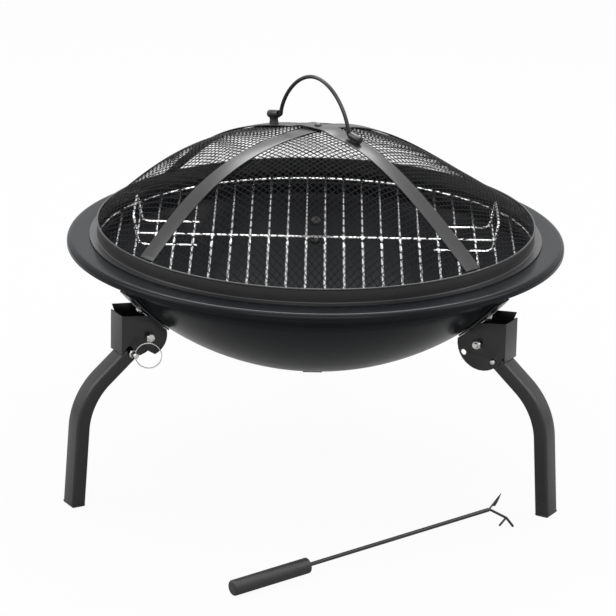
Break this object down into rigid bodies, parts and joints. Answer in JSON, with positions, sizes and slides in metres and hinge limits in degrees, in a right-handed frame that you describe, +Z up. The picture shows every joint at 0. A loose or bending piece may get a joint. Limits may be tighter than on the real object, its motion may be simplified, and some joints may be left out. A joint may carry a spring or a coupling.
{
  "type": "fire pit with grill grate",
  "caption": "Round steel fire bowl on folding curved legs, with a wire cooking grate, a domed mesh spark lid with a folding handle, and a barbed poker.",
  "frame": {"origin": "on the ground, under the middle of the whole set's outline; the bowl's axis is vertical and passes 47.9 mm behind it, along +Y", "axes": "+Z up, -Y towards the poker and the viewer, +X along the grate's cross bar to the viewer's right"},
  "size_m": [0.56, 0.7178, 0.4559],
  "materials": {
    "black_coat": "satin black powder coat",
    "bowl_coat": "satin black high-heat paint",
    "mesh_coat": "matt black paint on expanded steel",
    "grate_chrome": "bright chromed wire",
    "zinc": "bright zinc-plated steel",
    "foot_plastic": "matt black plastic",
    "grip_plastic": "matt black plastic"
  },
  "bodies": {
    "fire_pit": {"fire_bowl": "bowl_coat", "bracket_left": "black_coat", "saddle_left": "black_coat", "mount_bolt_upper_left": "zinc", "mount_bolt_lower_left": "zinc", "pivot_bolt_left": "zinc", "pivot_nut_left": "black_coat", "bracket_right": "black_coat", "saddle_right": "black_coat", "mount_bolt_upper_right": "zinc", "mount_bolt_lower_right": "zinc", "pivot_bolt_right": "zinc", "pivot_nut_right": "black_coat", "bracket_rear": "black_coat", "saddle_rear": "black_coat", "mount_bolt_upper_rear": "zinc", "mount_bolt_lower_rear": "zinc", "pivot_bolt_rear": "zinc", "pivot_nut_rear": "black_coat"},
    "grate": {"grate": "grate_chrome", "grate_handle_left": "grate_chrome", "grate_handle_right": "grate_chrome"},
    "lid": {"lid_ring": "black_coat", "lid_mesh": "mesh_coat", "strap_upper": "black_coat", "strap_lower": "black_coat", "apex_rivet": "zinc", "bail_socket_rear": "black_coat", "bail_socket_front": "black_coat"},
    "bail": {"bail": "black_coat"},
    "leg_body_left": {"leg_left": "black_coat", "foot_left": "foot_plastic"},
    "pin_body_left": {"lock_pin_left": "zinc"},
    "ring_body_left": {"pull_ring_left": "zinc"},
    "leg_body_right": {"leg_right": "black_coat", "foot_right": "foot_plastic"},
    "pin_body_right": {"lock_pin_right": "zinc"},
    "ring_body_right": {"pull_ring_right": "zinc"},
    "leg_body_rear": {"leg_rear": "black_coat", "foot_rear": "foot_plastic"},
    "pin_body_rear": {"lock_pin_rear": "zinc"},
    "ring_body_rear": {"pull_ring_rear": "zinc"},
    "poker": {"poker_rod": "black_coat", "poker_grip": "grip_plastic"}
  },
  "joints": [
    {"name": "grate_lift", "type": "slide", "parent": "fire_pit", "child": "grate", "axis": [0, 0, 1], "range_m": [0, 0.25]},
    {"name": "lid_lift", "type": "slide", "parent": "grate", "child": "lid", "axis": [0, 0, 1], "range_m": [0, 0.25]},
    {"name": "bail_fold", "type": "hinge", "parent": "lid", "child": "bail", "pos_m": [0, 0.04787, 0.39867], "axis": [-0.7034, 0.7108, 0], "range_deg": [-92, 92]},
    {"name": "leg_fold_left", "type": "hinge", "parent": "fire_pit", "child": "leg_body_left", "pos_m": [-0.18792, -0.06062, 0.18699], "axis": [0.5, -0.866, 0], "range_deg": [0, 93]},
    {"name": "pin_pull_left", "type": "slide", "parent": "fire_pit", "child": "pin_body_left", "axis": [0.5, -0.866, 0], "range_m": [0, 0.036]},
    {"name": "ring_swing_left", "type": "hinge", "parent": "pin_body_left", "child": "ring_body_left", "pos_m": [-0.19622, -0.08632, 0.17042], "axis": [0, 0, 1], "range_deg": [-130, 20]},
    {"name": "leg_fold_right", "type": "hinge", "parent": "fire_pit", "child": "leg_body_right", "pos_m": [0.18792, -0.06062, 0.18699], "axis": [0.5, 0.866, 0], "range_deg": [0, 93]},
    {"name": "pin_pull_right", "type": "slide", "parent": "fire_pit", "child": "pin_body_right", "axis": [0.5, 0.866, 0], "range_m": [0, 0.036]},
    {"name": "ring_swing_right", "type": "hinge", "parent": "pin_body_right", "child": "ring_body_right", "pos_m": [0.21432, -0.05496, 0.17042], "axis": [0, 0, 1], "range_deg": [-130, 20]},
    {"name": "leg_fold_rear", "type": "hinge", "parent": "fire_pit", "child": "leg_body_rear", "pos_m": [0, 0.26487, 0.18699], "axis": [-1, 0, 0], "range_deg": [0, 93]},
    {"name": "pin_pull_rear", "type": "slide", "parent": "fire_pit", "child": "pin_body_rear", "axis": [-1, 0, 0], "range_m": [0, 0.036]},
    {"name": "ring_swing_rear", "type": "hinge", "parent": "pin_body_rear", "child": "ring_body_rear", "pos_m": [-0.0181, 0.2849, 0.17042], "axis": [0, 0, 1], "range_deg": [-130, 20]},
    {"name": "poker_lift", "type": "slide", "parent": "fire_pit", "child": "poker", "axis": [0, -0.6, 0.8], "range_m": [0, 0.25]}
  ]
}
